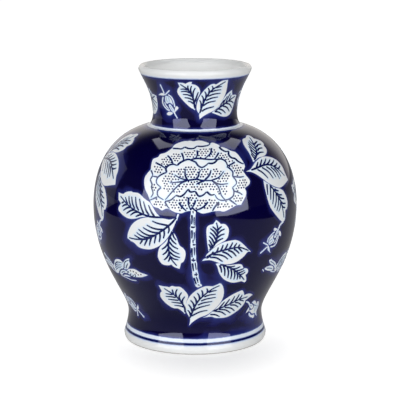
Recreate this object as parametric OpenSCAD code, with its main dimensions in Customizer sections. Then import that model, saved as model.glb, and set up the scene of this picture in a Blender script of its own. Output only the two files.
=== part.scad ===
// Baluster vase in glazed stoneware, cobalt blue with a white lip and a white foot.
//
// The clay body is built up in sections: a foot ring, a base slab, a lower and an upper body,
// a neck and a rolled lip. Thin slip joints hold the sections together. Fired coats of glaze
// cover the clay inside and out, and leave only the underside of the foot ring bare.
// The vase stands on z = 0, and the z axis is its axis.

/* [Foot] */
// Radius of the bare ring that the vase stands on
base_r = 61.8; // [60.5:0.1:62.2]
// Radius of the white foot band where it bulges most
foot_r = 62.6; // [62.3:0.1:64]
// Height at which the foot band bulges most
foot_z = 4.2; // [3:0.1:5]
// Height of the top of the white foot band
foot_band_top = 8; // [7:0.1:8.5]
// Height of the top of the dark blue line above the foot band
blue_line_top = 10; // [9:0.1:10.5]
// Height of the top of the pale stripe above the blue line
pale_stripe_top = 13.4; // [12:0.1:15]
// Radius of the recess under the vase
recess_r = 52; // [46:0.5:54]
// Depth of the recess under the vase, up to the clay
recess_h = 6.8; // [6:0.1:8]

/* [Body] */
// Radius of the waist above the foot
waist_r = 58.7; // [57:0.1:60]
// Height of the waist
waist_z = 23.5; // [21:0.5:26]
// Radius of the belly where it is widest
belly_r = 88.4; // [80:0.2:95]
// Height at which the belly is widest
belly_z = 118; // [112:1:124]

/* [Neck] */
// Radius of the crease between the shoulder and the neck
crease_r = 38.6; // [37.5:0.1:40]
// Height of the crease
crease_z = 188.5; // [186:0.5:191]
// Height of the pale line that is painted along the crease
crease_line_h = 2.2; // [1.5:0.1:3]
// Radius of the throat, the narrowest part of the neck
throat_r = 36.3; // [35:0.1:37]
// Height of the throat
throat_z = 198.5; // [196:0.5:202]

/* [Lip] */
// Height at which the blue of the neck ends and the white lip starts
lip_start_z = 232.7; // [231:0.1:234]
// Radius of the rolled lip where it is widest
lip_r = 48.5; // [47.5:0.1:50]
// Height at which the lip is widest
lip_z = 236.2; // [235.5:0.1:237]
// Radius of the crest of the lip
crest_r = 46.4; // [45.5:0.1:47]
// Radius of the mouth, just inside the lip
mouth_r = 42.8; // [42:0.1:43.5]
// Full height of the vase
height = 240; // [239:0.5:242]

/* [Walls] */
// Thickness of the wall, with both of its coats of glaze
wall_t = 5.4; // [4.5:0.1:6.5]
// Thickness of the base slab
slab_t = 6; // [5:0.5:8]
// Thickness of one coat of glaze
glaze_t = 0.4; // [0.3:0.05:0.6]
// Thickness of the slip between two sections
slip_t = 0.8; // [0.5:0.1:1.2]

/* [Hidden] */
$fn = 180;

clay_colour = "#cdbfae";
slip_colour = "#b9a993";
white_glaze = "#e4e6e4";
pale_glaze = "#cfdbe8";
blue_glaze = "#12104a";

// Straight steps in a long curve of the outline, in the toe of the foot and in a quarter turn
curve_steps = 18;
toe_steps = 4;
quarter_steps = 8;

// Lengths of the handles of the outline's curves
foot_handle = 1;
waist_handle_below = 9;
waist_handle_above = 18;
belly_handle_below = 51;
belly_handle_above = 30;
shoulder_handle = 39;
crease_handle = 3;
throat_handle_below = 5;
throat_handle_above = 18;
lip_handle = 8;

// Slope of the shoulder where it meets the neck, and of the neck where it runs into the lip
shoulder_slope = 13;
lip_slope = 70;

// Radius of the corner between the inside of the wall and the floor
floor_corner_r = 9;
// Height between the top of the inside wall's curve and the mouth
mouth_bevel_h = 3;
// Height up to which the foot ring is wiped clean of glaze
bare_h = 1;
// Width of the windows that cut bands out of a half section
window_w = 120;

slab_top = recess_h + slab_t;
slab_joint_top = slab_top + slip_t;
foot_joint_low = recess_h - slip_t;
belly_joint_low = belly_z - slip_t / 2;
belly_joint_high = belly_z + slip_t / 2;
shoulder_joint_low = crease_z - slip_t / 2;
shoulder_joint_high = crease_z + slip_t / 2;
lip_joint_low = lip_start_z - slip_t;
crease_line_low = crease_z - crease_line_h / 2;
crease_line_high = crease_z + crease_line_h / 2;

// The point at t, from 0 to 1, on the Bezier curve with the four control points p
function bezier(p, t) =
  pow(1 - t, 3) * p[0] + 3 * pow(1 - t, 2) * t * p[1]
  + 3 * (1 - t) * t * t * p[2] + pow(t, 3) * p[3];

// The points along that curve, without its first one
function curve(p, steps = curve_steps) = [for (i = [1:steps]) bezier(p, i / steps)];

// Points on a quarter of an ellipse, from the angle start, without its first one
function quarter(centre, half_w, half_h, start) = [
  for (i = [1:quarter_steps])
    let (a = start + 90 * i / quarter_steps)
    centre + [half_w * cos(a), half_h * sin(a)]
];

toe = [[base_r, 0], [base_r, foot_z / 3], [foot_r, foot_z / 2], [foot_r, foot_z]];
foot = [
  [foot_r, foot_z], [foot_r, foot_z + foot_handle],
  [waist_r, waist_z - waist_handle_below], [waist_r, waist_z]
];
flank = [
  [waist_r, waist_z], [waist_r, waist_z + waist_handle_above],
  [belly_r, belly_z - belly_handle_below], [belly_r, belly_z]
];
shoulder = [
  [belly_r, belly_z], [belly_r, belly_z + belly_handle_above],
  [crease_r, crease_z] + shoulder_handle * [cos(shoulder_slope), -sin(shoulder_slope)],
  [crease_r, crease_z]
];
throat = [
  [crease_r, crease_z], [crease_r - crease_handle / 3, crease_z + crease_handle],
  [throat_r, throat_z - throat_handle_below], [throat_r, throat_z]
];
flare = [
  [throat_r, throat_z], [throat_r, throat_z + throat_handle_above],
  [lip_r, lip_z] - lip_handle * [cos(lip_slope), sin(lip_slope)], [lip_r, lip_z]
];

// The outer surface, from the foot up the outside and over the lip to the mouth
outline = concat(
  [toe[0]], curve(toe, toe_steps), curve(foot), curve(flank), curve(shoulder), curve(throat),
  curve(flare),
  quarter([crest_r, lip_z], lip_r - crest_r, height - lip_z, 0),
  quarter([crest_r, lip_z], crest_r - mouth_r, height - lip_z, 90)
);

// A path moved by d to the left of the way it runs, so into the clay from the outline
function moved(path, d) = [
  for (i = [0:len(path) - 1])
    let (
      run = path[min(i + 1, len(path) - 1)] - path[max(i - 1, 0)],
      left = [-run[1], run[0]] / norm(run)
    )
    path[i] + d * left
];

function reversed(path) = [for (i = [len(path) - 1:-1:0]) path[i]];

// The surface of the hollow, from the middle of the floor up to the mouth:
// depth is how far it lies below the outline, and level is the height of the floor
function hollow(depth, level, rim_r) =
  let (
    wall = [
      for (p = moved(outline, depth))
        if (p[1] > level + floor_corner_r && p[1] < lip_z - mouth_bevel_h) p
    ],
    corner = [wall[0][0] - floor_corner_r, level + floor_corner_r]
  )
  concat([[0, level], [corner[0], level]], quarter(corner, floor_corner_r, floor_corner_r, -90), wall,
    [[rim_r, lip_z]]);

clay_outline = moved(outline, glaze_t);
clay_hollow = hollow(wall_t - glaze_t, slab_joint_top, mouth_r + glaze_t);
glaze_hollow = hollow(wall_t, slab_joint_top + glaze_t, mouth_r);

// The half sections of the clay, of the coat of glaze outside it and of the one inside it
module clay_section() polygon(concat([[0, 0], [base_r - glaze_t, 0]], clay_outline, reversed(clay_hollow)));
module coat_section() polygon(concat(outline, reversed(clay_outline)));
module lining_section() polygon(concat(glaze_hollow, reversed(clay_hollow)));

// A ring turned from the band of a half section between two heights, from the radius r outward
module ring(low, high, r = 0) {
  rotate_extrude() intersection() {
    children();
    translate([r, low]) square([window_w, high - low]);
  }
}

module foot_ring() color(clay_colour) ring(0, foot_joint_low, recess_r) clay_section();
module base_slab() color(clay_colour) ring(recess_h, slab_top) clay_section();
module lower_body() color(clay_colour) ring(slab_joint_top, belly_joint_low) clay_section();
module upper_body() color(clay_colour) ring(belly_joint_high, shoulder_joint_low) clay_section();
module neck() color(clay_colour) ring(shoulder_joint_high, lip_joint_low) clay_section();
module rolled_lip() color(clay_colour) ring(lip_start_z, height) clay_section();

module foot_slip_joint() color(slip_colour) ring(foot_joint_low, recess_h, recess_r) clay_section();
module base_slip_joint() color(slip_colour) ring(slab_top, slab_joint_top, recess_r) clay_section();
module belly_slip_joint() color(slip_colour) ring(belly_joint_low, belly_joint_high) clay_section();
module shoulder_slip_joint() color(slip_colour) ring(shoulder_joint_low, shoulder_joint_high) clay_section();
module lip_slip_joint() color(slip_colour) ring(lip_joint_low, lip_start_z) clay_section();

module foot_glaze() color(white_glaze) ring(bare_h, foot_band_top) coat_section();
module foot_line_glaze() color(blue_glaze) ring(foot_band_top, blue_line_top) coat_section();
module foot_stripe_glaze() color(pale_glaze) ring(blue_line_top, pale_stripe_top) coat_section();
module body_glaze() color(blue_glaze) ring(pale_stripe_top, crease_line_low) coat_section();
module crease_line_glaze() color(pale_glaze) ring(crease_line_low, crease_line_high) coat_section();
module neck_glaze() color(blue_glaze) ring(crease_line_high, lip_start_z) coat_section();
module lip_glaze() color(white_glaze) ring(lip_start_z, height) coat_section();
module lining_glaze() color(white_glaze) ring(slab_joint_top, lip_z) lining_section();

// The glaze under the vase lines the recess, and stops short of the ground
module base_glaze() color(white_glaze) rotate_extrude() difference() {
  translate([0, bare_h]) square([recess_r, recess_h - bare_h]);
  square([recess_r - glaze_t, recess_h - glaze_t]);
}

foot_ring();
base_slab();
lower_body();
upper_body();
neck();
rolled_lip();
foot_slip_joint();
base_slip_joint();
belly_slip_joint();
shoulder_slip_joint();
lip_slip_joint();
foot_glaze();
foot_line_glaze();
foot_stripe_glaze();
body_glaze();
crease_line_glaze();
neck_glaze();
lip_glaze();
lining_glaze();
base_glaze();
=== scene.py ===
"""Looks of a blue and white glazed vase, built around its frame.

The frame gives the clay, the slip and the coats of glaze. Here the coats are turned again at a finer
step, and the painted flowers, leaves, buds and butterflies are laid on them as thin pieces of their own:
white grounds cut to the outline of each motif, and on those the ink strokes and dots.

The painting is drawn once, for a third of the way round, and repeated at every 120 degrees. Only the bud
low on the right differs: it is open in front and closed on the other two thirds. Each motif has a chart
of its own: x runs round the vase and y runs up along its surface, both in millimetres, from the point
where the motif is hung. Angle 0 is the front of the vase (-Y).
"""

import math

import bpy
import numpy as np
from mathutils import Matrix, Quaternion, Vector
from mathutils.geometry import delaunay_2d_cdt


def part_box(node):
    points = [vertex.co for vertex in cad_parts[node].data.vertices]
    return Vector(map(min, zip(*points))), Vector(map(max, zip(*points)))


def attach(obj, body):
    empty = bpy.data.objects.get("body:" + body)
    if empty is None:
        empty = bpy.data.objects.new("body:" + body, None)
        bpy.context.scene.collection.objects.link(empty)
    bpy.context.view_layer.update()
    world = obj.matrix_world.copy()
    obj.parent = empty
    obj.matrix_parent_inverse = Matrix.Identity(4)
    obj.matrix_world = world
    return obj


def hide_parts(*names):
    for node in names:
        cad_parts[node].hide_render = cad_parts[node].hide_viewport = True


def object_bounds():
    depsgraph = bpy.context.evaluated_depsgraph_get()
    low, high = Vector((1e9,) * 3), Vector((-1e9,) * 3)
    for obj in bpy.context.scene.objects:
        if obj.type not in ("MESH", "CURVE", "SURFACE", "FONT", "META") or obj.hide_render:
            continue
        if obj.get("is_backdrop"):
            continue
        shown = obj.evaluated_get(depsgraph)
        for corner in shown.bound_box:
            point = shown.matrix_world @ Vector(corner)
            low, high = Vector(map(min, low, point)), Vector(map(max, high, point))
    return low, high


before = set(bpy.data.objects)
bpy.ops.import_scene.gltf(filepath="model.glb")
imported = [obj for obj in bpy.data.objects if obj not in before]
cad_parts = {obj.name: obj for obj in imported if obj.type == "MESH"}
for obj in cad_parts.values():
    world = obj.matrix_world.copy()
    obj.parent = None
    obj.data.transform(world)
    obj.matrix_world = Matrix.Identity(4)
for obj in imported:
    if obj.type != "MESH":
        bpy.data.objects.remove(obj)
cad_low, cad_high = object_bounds()

# -------------------- sizes, in millimetres
MM = 0.001


def span(node):
    """The lowest and highest z of a node of the frame, and its largest radius."""
    low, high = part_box(node)
    return low.z / MM, high.z / MM, high.x / MM


bare_top, foot_band_top, foot_r = span("foot_glaze")
_, blue_line_top, _ = span("foot_line_glaze")
_, stripe_top, _ = span("foot_stripe_glaze")
_, _, belly_r = span("body_glaze")
crease_low, crease_high, _ = span("crease_line_glaze")
lip_start, height, lip_r = span("lip_glaze")
floor_low, lining_top, _ = span("lining_glaze")
recess_low, recess_top, recess_r = span("base_glaze")

glaze_t = 0.4
wall_t = 5.4
base_r = foot_r - 0.8
foot_z = 4.2
waist_r = 0.664 * belly_r
waist_z = 23.5
belly_z = 118.0
crease_r = 38.6
crease_z = (crease_low + crease_high) / 2
throat_r = 36.3
throat_z = crease_z + 10
lip_z = lining_top
crest_r = lip_r - 2.1
mouth_r = lip_r - 5.7
floor_corner_r = 9.0
mouth_bevel_h = 3.0
recess_bevel = 1.5
shoulder_slope = math.radians(13)
lip_slope = math.radians(70)

# How far the handles of the outline's curves reach
waist_down, waist_up = 9, 18
belly_down, belly_up = 51, 30
shoulder_reach = 39
crease_in, crease_up = 1, 3
throat_down, throat_up = 5, 18
lip_reach = 8

# Steps of the turned pieces, of the outlines and strokes of the painting, and of its regions of dots
columns = 480
band_columns = 240
row_step = 1.3
back_rows_every = 3
hollow_step = 3.0
edge_step = 0.7
stroke_step = 0.8
region_step = 1.0

# Heights over the coat: the white of the painting, its underside, and the crown and edge of the ink
ground_lift = 0.10
sunk = -0.12
ink_lift = 0.15
ink_edge_lift = 0.04

# The painting goes round the vase three times
repeats = 3
third_turn = 2 * math.pi / repeats

# Radii of the dots and spots, how unevenly the ink is laid, and how far it tints the white beside it
dot_r = 0.83, 0.97
spot_r = 0.9
ink_tones = 0.88, 1.0
tint_reach = 2.0

# How far the blue below runs up into the crease line, and how far past it the blue above begins
crease_creep, crease_past = 1.4, 0.2

# A distance to blue or to ink that counts as far away
far_off = 50.0


# -------------------- the outline of the vase
def bezier(a, b, c, d, steps=160):
    t = np.linspace(0, 1, steps + 1)[:, None]
    a, b, c, d = (np.array(p, float) for p in (a, b, c, d))
    return (1 - t) ** 3 * a + 3 * (1 - t) ** 2 * t * b + 3 * (1 - t) * t * t * c + t**3 * d


def leaning(start, reach, angle):
    """The point at that reach and angle from a start."""
    return start[0] + reach * math.cos(angle), start[1] + reach * math.sin(angle)


def quarter(centre, half_w, half_h, start, steps=40):
    """A quarter of an ellipse, anticlockwise from the angle start in degrees."""
    a = np.radians(start + np.linspace(0, 90, steps + 1))
    return np.stack([centre[0] + half_w * np.cos(a), centre[1] + half_h * np.sin(a)], 1)


def joined(*runs):
    """Runs end to end, without the points where one starts on the last one's end."""
    return np.concatenate([runs[0]] + [r[1:] for r in runs[1:]])


def arc_lengths(points):
    """How far along a line of points each of them lies."""
    return np.concatenate([[0], np.cumsum(np.linalg.norm(np.diff(points, axis=0), axis=1))])


def sampled(values, arc, s):
    """Pairs of values, known at the arc lengths arc, at the arc lengths s."""
    return np.stack([np.interp(s, arc, values[:, i]) for i in (0, 1)], 1)


def unit(vectors):
    return vectors / np.maximum(np.linalg.norm(vectors, axis=1), 1e-9)[:, None]


def along_and_left(line):
    """Unit vectors along a line and to its left, at every point."""
    way = unit(np.gradient(line, axis=0))
    return way, np.stack([-way[:, 1], way[:, 0]], 1)


base, foot, waist = (base_r, 0), (foot_r, foot_z), (waist_r, waist_z)
belly, crease, throat = (belly_r, belly_z), (crease_r, crease_z), (throat_r, throat_z)
lip, crease_pull = (lip_r, lip_z), (crease_r - crease_in, crease_z + crease_up)
outline = joined(
    bezier(base, (base_r, foot_z / 3), (foot_r, foot_z / 2), foot),
    bezier(foot, (foot_r, foot_z + 1), (waist_r, waist_z - waist_down), waist),
    bezier(waist, (waist_r, waist_z + waist_up), (belly_r, belly_z - belly_down), belly),
    bezier(belly, (belly_r, belly_z + belly_up), leaning(crease, shoulder_reach, -shoulder_slope), crease),
    bezier(crease, crease_pull, (throat_r, throat_z - throat_down), throat),
    bezier(throat, (throat_r, throat_z + throat_up), leaning(lip, lip_reach, math.pi + lip_slope), lip),
    quarter((crest_r, lip_z), lip_r - crest_r, height - lip_z, 0),
    quarter((crest_r, lip_z), crest_r - mouth_r, height - lip_z, 90),
)
along = arc_lengths(outline)
run = np.gradient(outline, along, axis=0)
outward = unit(np.stack([run[:, 1], -run[:, 0]], 1))
outside_end = int(np.argmax(outline[:, 1] >= lip_z))


def arc_at(z):
    """How far along the outline the height z is reached on the outside."""
    return np.interp(z, outline[: outside_end + 1, 1], along[: outside_end + 1])


def section(s, depth=0.0):
    """The points (r, z) at the arc lengths s, moved into the clay by depth."""
    return sampled(outline, along, s) - depth * sampled(outward, along, s)


def on_surface(angle, s):
    """Points on the coats and their normals in space, at angles in radians and arc lengths."""
    across, forward = np.sin(angle), -np.cos(angle)
    flat = section(s), unit(sampled(outward, along, s))
    return [np.stack([v[:, 0] * across, v[:, 0] * forward, v[:, 1]], 1) for v in flat]


# -------------------- meshes
def add_piece(name, points, faces, material, attributes=None, normals=None, replaces=()):
    """A mesh piece from points in millimetres. normals gives one vector per corner, or none."""
    mesh = bpy.data.meshes.new(name)
    mesh.from_pydata((np.asarray(points) * MM).tolist(), [], faces)
    for label, values in (attributes or {}).items():
        layer = mesh.attributes.new(label, "FLOAT", "POINT")
        layer.data.foreach_set("value", np.asarray(values, np.float32))
    mesh.polygons.foreach_set("use_smooth", [True] * len(mesh.polygons))
    if normals is None:
        mesh.set_sharp_from_angle(angle=math.radians(40))
    else:
        mesh.normals_split_custom_set(np.asarray(normals).tolist())
    mesh.materials.append(material)
    piece = bpy.data.objects.new(name, mesh)
    bpy.context.scene.collection.objects.link(piece)
    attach(piece, "root")
    if replaces:
        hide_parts(*replaces)
    return piece


def turned(name, half, material, distance, replaces, segments=columns):
    """A piece turned from the closed half section half, whose points run anticlockwise in (r, z).

    distance gives the attribute edge_distance, one value per point or per point and column.
    Points on the axis become one vertex each.
    """
    angles = np.arange(segments) * 2 * math.pi / segments
    rows = np.broadcast_to(np.reshape(distance, (len(half), -1)), (len(half), segments))
    points, values, rings, faces = [], [], [], []
    for (r, z), row in zip(half, rows, strict=True):
        around = angles if r > 1e-6 else angles[:1]
        rings.append([len(points) + k % len(around) for k in range(segments + 1)])
        points.extend((r * math.sin(a), -r * math.cos(a), z) for a in around)
        values.extend(row[: len(around)])
    for low, high in zip(rings, rings[1:] + rings[:1], strict=True):
        for corners in zip(low, low[1:], high[1:], high, strict=False):
            face = list(dict.fromkeys(corners))
            if len(face) > 2:
                faces.append(face)
    return add_piece(name, points, faces, material, {"edge_distance": values}, replaces=replaces)


def coat(name, low, high, material, distance, replaces, step=row_step, segments=columns):
    """A coat of glaze between two arc lengths of the outline. distance is a function of the arc length."""
    rows = max(2, math.ceil((high - low) / step))
    front = np.linspace(low, high, rows + 1)
    back = np.linspace(high, low, max(2, rows // back_rows_every) + 1)
    half = np.concatenate([section(front), section(back, glaze_t)])
    values = distance(front)
    behind = np.zeros((len(back),) + values.shape[1:])
    return turned(name, half, material, np.concatenate([values, behind]), replaces, segments)


# -------------------- drawing on a chart
def parsed(text):
    """Points of a path such as '3,6! 0,5 -4,2', and which of them are corners, marked with !."""
    words = text.split()
    corners = [w.endswith("!") for w in words]
    return np.array([[float(v) for v in w.rstrip("!").split(",")] for w in words]), corners


def spline(points, step, closed=False):
    """A smooth line through the points in steps of about that length. A closed one leaves its end out."""
    points = np.asarray(points, float)
    if closed:
        p = np.concatenate([points[-1:], points, points[:2]])
    else:
        p = np.concatenate([[points[0] * 2 - points[1]], points, [points[-1] * 2 - points[-2]]])
    gaps = np.maximum(np.linalg.norm(np.diff(p, axis=0), axis=1), 1e-6) ** 0.5
    out = [p[1][None]]
    for i in range(1, len(p) - 2):
        d0, d1, d2 = gaps[i - 1], gaps[i], gaps[i + 1]
        m1 = ((p[i] - p[i - 1]) / d0 - (p[i + 1] - p[i - 1]) / (d0 + d1) + (p[i + 1] - p[i]) / d1) * d1
        m2 = ((p[i + 1] - p[i]) / d1 - (p[i + 2] - p[i]) / (d1 + d2) + (p[i + 2] - p[i + 1]) / d2) * d1
        n = max(1, math.ceil(d1 * d1 / step))
        t = (np.arange(1, n + 1) / n)[:, None]
        out.append(
            (2 * t**3 - 3 * t**2 + 1) * p[i]
            + (t**3 - 2 * t**2 + t) * m1
            + (3 * t**2 - 2 * t**3) * p[i + 1]
            + (t**3 - t**2) * m2
        )
    line = np.concatenate(out)
    return line[:-1] if closed else line


def closed_path(text, step):
    """The outline of a shape: smooth runs from corner to corner, or one smooth loop without any."""
    points, corners = parsed(text)
    n = len(points)
    marked = [i for i in range(n) if corners[i]]
    if not marked:
        return spline(points, step, closed=True)
    runs = []
    for a, b in zip(marked, marked[1:] + [marked[0] + n], strict=True):
        runs.append(spline([points[i % n] for i in range(a, b + 1)], step)[:-1])
    return np.concatenate(runs)


def ribbon(line, width):
    """The outline of a short white stroke with blunt, rounded ends."""
    way, left = along_and_left(line)
    side = left * width / 2
    cap = np.radians([60, 30, 0, -30, -60])
    tip = [line[-1] + way[-1] * math.cos(a) * width / 2 + side[-1] * math.sin(a) for a in cap]
    tail = [line[0] - way[0] * math.cos(a) * width / 2 - side[0] * math.sin(a) for a in cap]
    return np.concatenate([line + side, tip, (line - side)[::-1], tail])


def inside(points, loop):
    """Which points lie inside a closed loop."""
    x, y = points[:, :1], points[:, 1:]
    a, b = loop, np.roll(loop, -1, axis=0)
    crosses = (a[:, 1] > y) != (b[:, 1] > y)
    rise = np.where(b[:, 1] == a[:, 1], 1e-12, b[:, 1] - a[:, 1])
    return (crosses & (x < (b[:, 0] - a[:, 0]) * (y - a[:, 1]) / rise + a[:, 0])).sum(1) % 2 == 1


def gap(points, line, closed=False, at_once=4000):
    """The distance from each point to a line of points."""
    a = line if closed else line[:-1]
    b = np.roll(line, -1, axis=0) if closed else line[1:]
    best = np.full(len(points), 1e9)
    way = b - a
    length = np.maximum((way**2).sum(1), 1e-12)
    for i in range(0, len(points), at_once):
        p = points[i : i + at_once, None, :]
        t = np.clip(((p - a) * way).sum(2) / length, 0, 1)[..., None]
        best[i : i + at_once] = np.sqrt((((a + t * way) - p) ** 2).sum(2)).min(1)
    return best


# Where the crown of a bud lies in its drawing
BUD_CROWN = (-2.5, 7.3)


class Chart:
    """The flat sheet that one motif is drawn on, hung at an angle in degrees and a height."""

    def __init__(self, angle, z, turn=0.0, at=BUD_CROWN):
        """at is where the crown of a bud comes to lie; other motifs aren't moved."""
        self.angle, self.s = math.radians(angle), float(arc_at(z))
        self.turn, self.at = math.radians(turn), np.array(at)

    def moved(self, points):
        """Points of the drawing, turned about the bud's crown and moved on the sheet."""
        c, s = math.cos(self.turn), math.sin(self.turn)
        return (np.asarray(points) - BUD_CROWN) @ np.array([[c, s], [-s, c]]) + self.at

    def placed(self, points, copy):
        """Points and normals in space of sheet points, on the copy-th repeat."""
        s = self.s + points[:, 1]
        return on_surface(self.angle + copy * third_turn + points[:, 0] / section(s)[:, 0], s)

    def sheet(self, angles, s, copy):
        """The points of the copy-th repeat's sheet at angles and arc lengths of the vase."""
        off = (angles - self.angle - copy * third_turn + math.pi) % (2 * math.pi) - math.pi
        return np.stack([off * section(s)[:, 0], s - self.s], 1)


class Layer:
    """Faces of one painted piece, gathered on its sheet and placed on the vase at the end."""

    def __init__(self):
        self.points, self.lifts, self.faces, self.kinds, self.values = [], [], [], [], {}
        self.count = 0

    def add(self, points, lifts, faces, kinds, **values):
        """kinds names how each face is shaded: 'top', 'under' or 'side'."""
        self.points.append(points)
        self.lifts.append(np.broadcast_to(lifts, len(points)))
        self.faces += [[v + self.count for v in f] for f in faces]
        self.kinds += kinds
        for label, column in values.items():
            self.values.setdefault(label, []).append(np.broadcast_to(column, len(points)))
        self.count += len(points)

    def build(self, name, chart, material, slot, copy):
        points, lifts = np.concatenate(self.points), np.concatenate(self.lifts)
        places, normals = chart.placed(points, copy)
        places = places + normals * lifts[:, None]
        sign = {"top": 1.0, "under": -1.0, "side": 0.0}
        shaded = zip(self.faces, self.kinds, strict=True)
        corners = [normals[v] * sign[kind] for face, kind in shaded for v in face]
        values = {label: np.concatenate(parts) for label, parts in self.values.items()}
        return add_piece(name, places, self.faces, material, values, corners)


def lattice(loop, pitch):
    """Points on a grid of triangles over the box of a loop."""
    low, high = loop.min(0), loop.max(0)
    xs, ys = np.arange(low[0], high[0], pitch), np.arange(low[1], high[1], pitch * 0.87)
    return np.array([(x + pitch / 2 * (j % 2), y) for j, y in enumerate(ys) for x in xs]).reshape(-1, 2)


def lay_ground(layer, loop, lines, step=1.8):
    """The white ground of a motif: a thin plate with the outline loop, filled with triangles."""
    grid = lattice(loop, step)
    grid = grid[inside(grid, loop)]
    every = np.concatenate([loop, grid[gap(grid, loop, True) > step * 0.45]])
    edges = [(i, (i + 1) % len(loop)) for i in range(len(loop))]
    flat, _, faces, *_ = delaunay_2d_cdt([Vector(p) for p in every], edges, [], 1, 1e-4)
    flat = np.array([tuple(p) for p in flat])
    n = len(flat)
    tops, directed = [], set()
    for f in faces:
        a, b, c = (flat[v] for v in f[:3])
        turn = (b[0] - a[0]) * (c[1] - a[1]) - (b[1] - a[1]) * (c[0] - a[0])
        tops.append(list(f) if turn > 0 else list(f)[::-1])
        directed.update(zip(tops[-1], tops[-1][1:] + tops[-1][:1], strict=True))
    under = [[v + n for v in f[::-1]] for f in tops]
    walls = [[a, a + n, b + n, b] for a, b in directed if (b, a) not in directed]
    edge = gap(flat, loop, True)
    ink = np.full(n, far_off)
    for line in lines:
        ink = np.minimum(ink, gap(flat, line))
    layer.add(
        np.concatenate([flat, flat]),
        np.repeat([ground_lift, sunk], n),
        tops + under + walls,
        ["top"] * len(tops) + ["under"] * len(under) + ["side"] * len(walls),
        edge_distance=np.tile(edge, 2),
        ink_distance=np.tile(ink, 2),
    )


def lay_stroke(layer, line, width, tone):
    """One stroke of ink along line, swelling from its start and thinning to its end."""
    arc = arc_lengths(line)
    n = max(3, round(arc[-1] / 0.9))
    t = np.concatenate([np.arange(n) / n, [1 - 0.25 / n, 1]])
    p = sampled(line, arc, t * arc[-1])
    _, left = along_and_left(p)
    thin = np.minimum(1, 0.8 + 2 * t) * (1 - 0.4 * t**2.2)
    thin[-1] *= 0.3
    rings = [p + left * (width / 2 * thin * k)[:, None] for k in (1, 0.66, -0.66, -1)]
    points = np.stack(rings, 1).reshape(-1, 2)
    lifts = np.tile([ink_edge_lift, ink_lift, ink_lift, ink_edge_lift], len(t))
    faces, kinds = [], []
    for i in range(len(t) - 1):
        a, b = 4 * i, 4 * i + 4
        faces += [[a + k, a + (k + 1) % 4, b + (k + 1) % 4, b + k] for k in range(4)]
        kinds += ["top", "top", "top", "under"]
    last = 4 * (len(t) - 1)
    faces += [[0, 3, 2, 1], [last, last + 1, last + 2, last + 3]]
    kinds += ["side", "side"]
    layer.add(points, lifts, faces, kinds, tone=np.repeat(tone * (0.85 + 0.15 * thin), 4))


def lay_dot(layer, centre, radius, tone, sides=8):
    """One dot of ink, a low button with a flat underside."""
    a = np.arange(sides) * 2 * math.pi / sides
    ring = np.stack([np.cos(a), np.sin(a)], 1) * radius
    points = np.concatenate([[[0, 0]], ring * 0.72, ring]) + centre
    lifts = np.array([ink_lift] * (sides + 1) + [ink_edge_lift] * sides)
    faces, kinds = [], []
    for i in range(sides):
        j = (i + 1) % sides
        faces += [[0, 1 + i, 1 + j], [1 + i, 1 + sides + i, 1 + sides + j, 1 + j]]
        kinds += ["top", "top"]
    faces.append([1 + sides + i for i in range(sides)][::-1])
    kinds.append("under")
    layer.add(points, lifts, faces, kinds, tone=tone)


def dots_in(loop, lines, rng, spacing=2.4, clear=1.05, wander=0.3):
    """Dot centres spread over a region, off the edge and off the strokes."""
    grid = lattice(loop, spacing)
    grid = grid + rng.uniform(-wander, wander, grid.shape)
    keep = inside(grid, loop)
    for line in lines:
        keep &= gap(grid, line) > clear
    return grid[keep]


# -------------------- the drawings
# Each drawing has the outlines of its white grounds, short white ribbons as (width, paths), strokes of
# ink as (width, tone, paths), the outlines of its regions of dots, and single spots. Corners are marked
# with !, and paths are parted by semicolons. Tone runs from 0, a pale wash, to 1, full ink.
RIB_W, VEIN_W = 2.2, 2.1
NECK_RIB_W, NECK_VEIN_W = 2.05, 1.9

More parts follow.
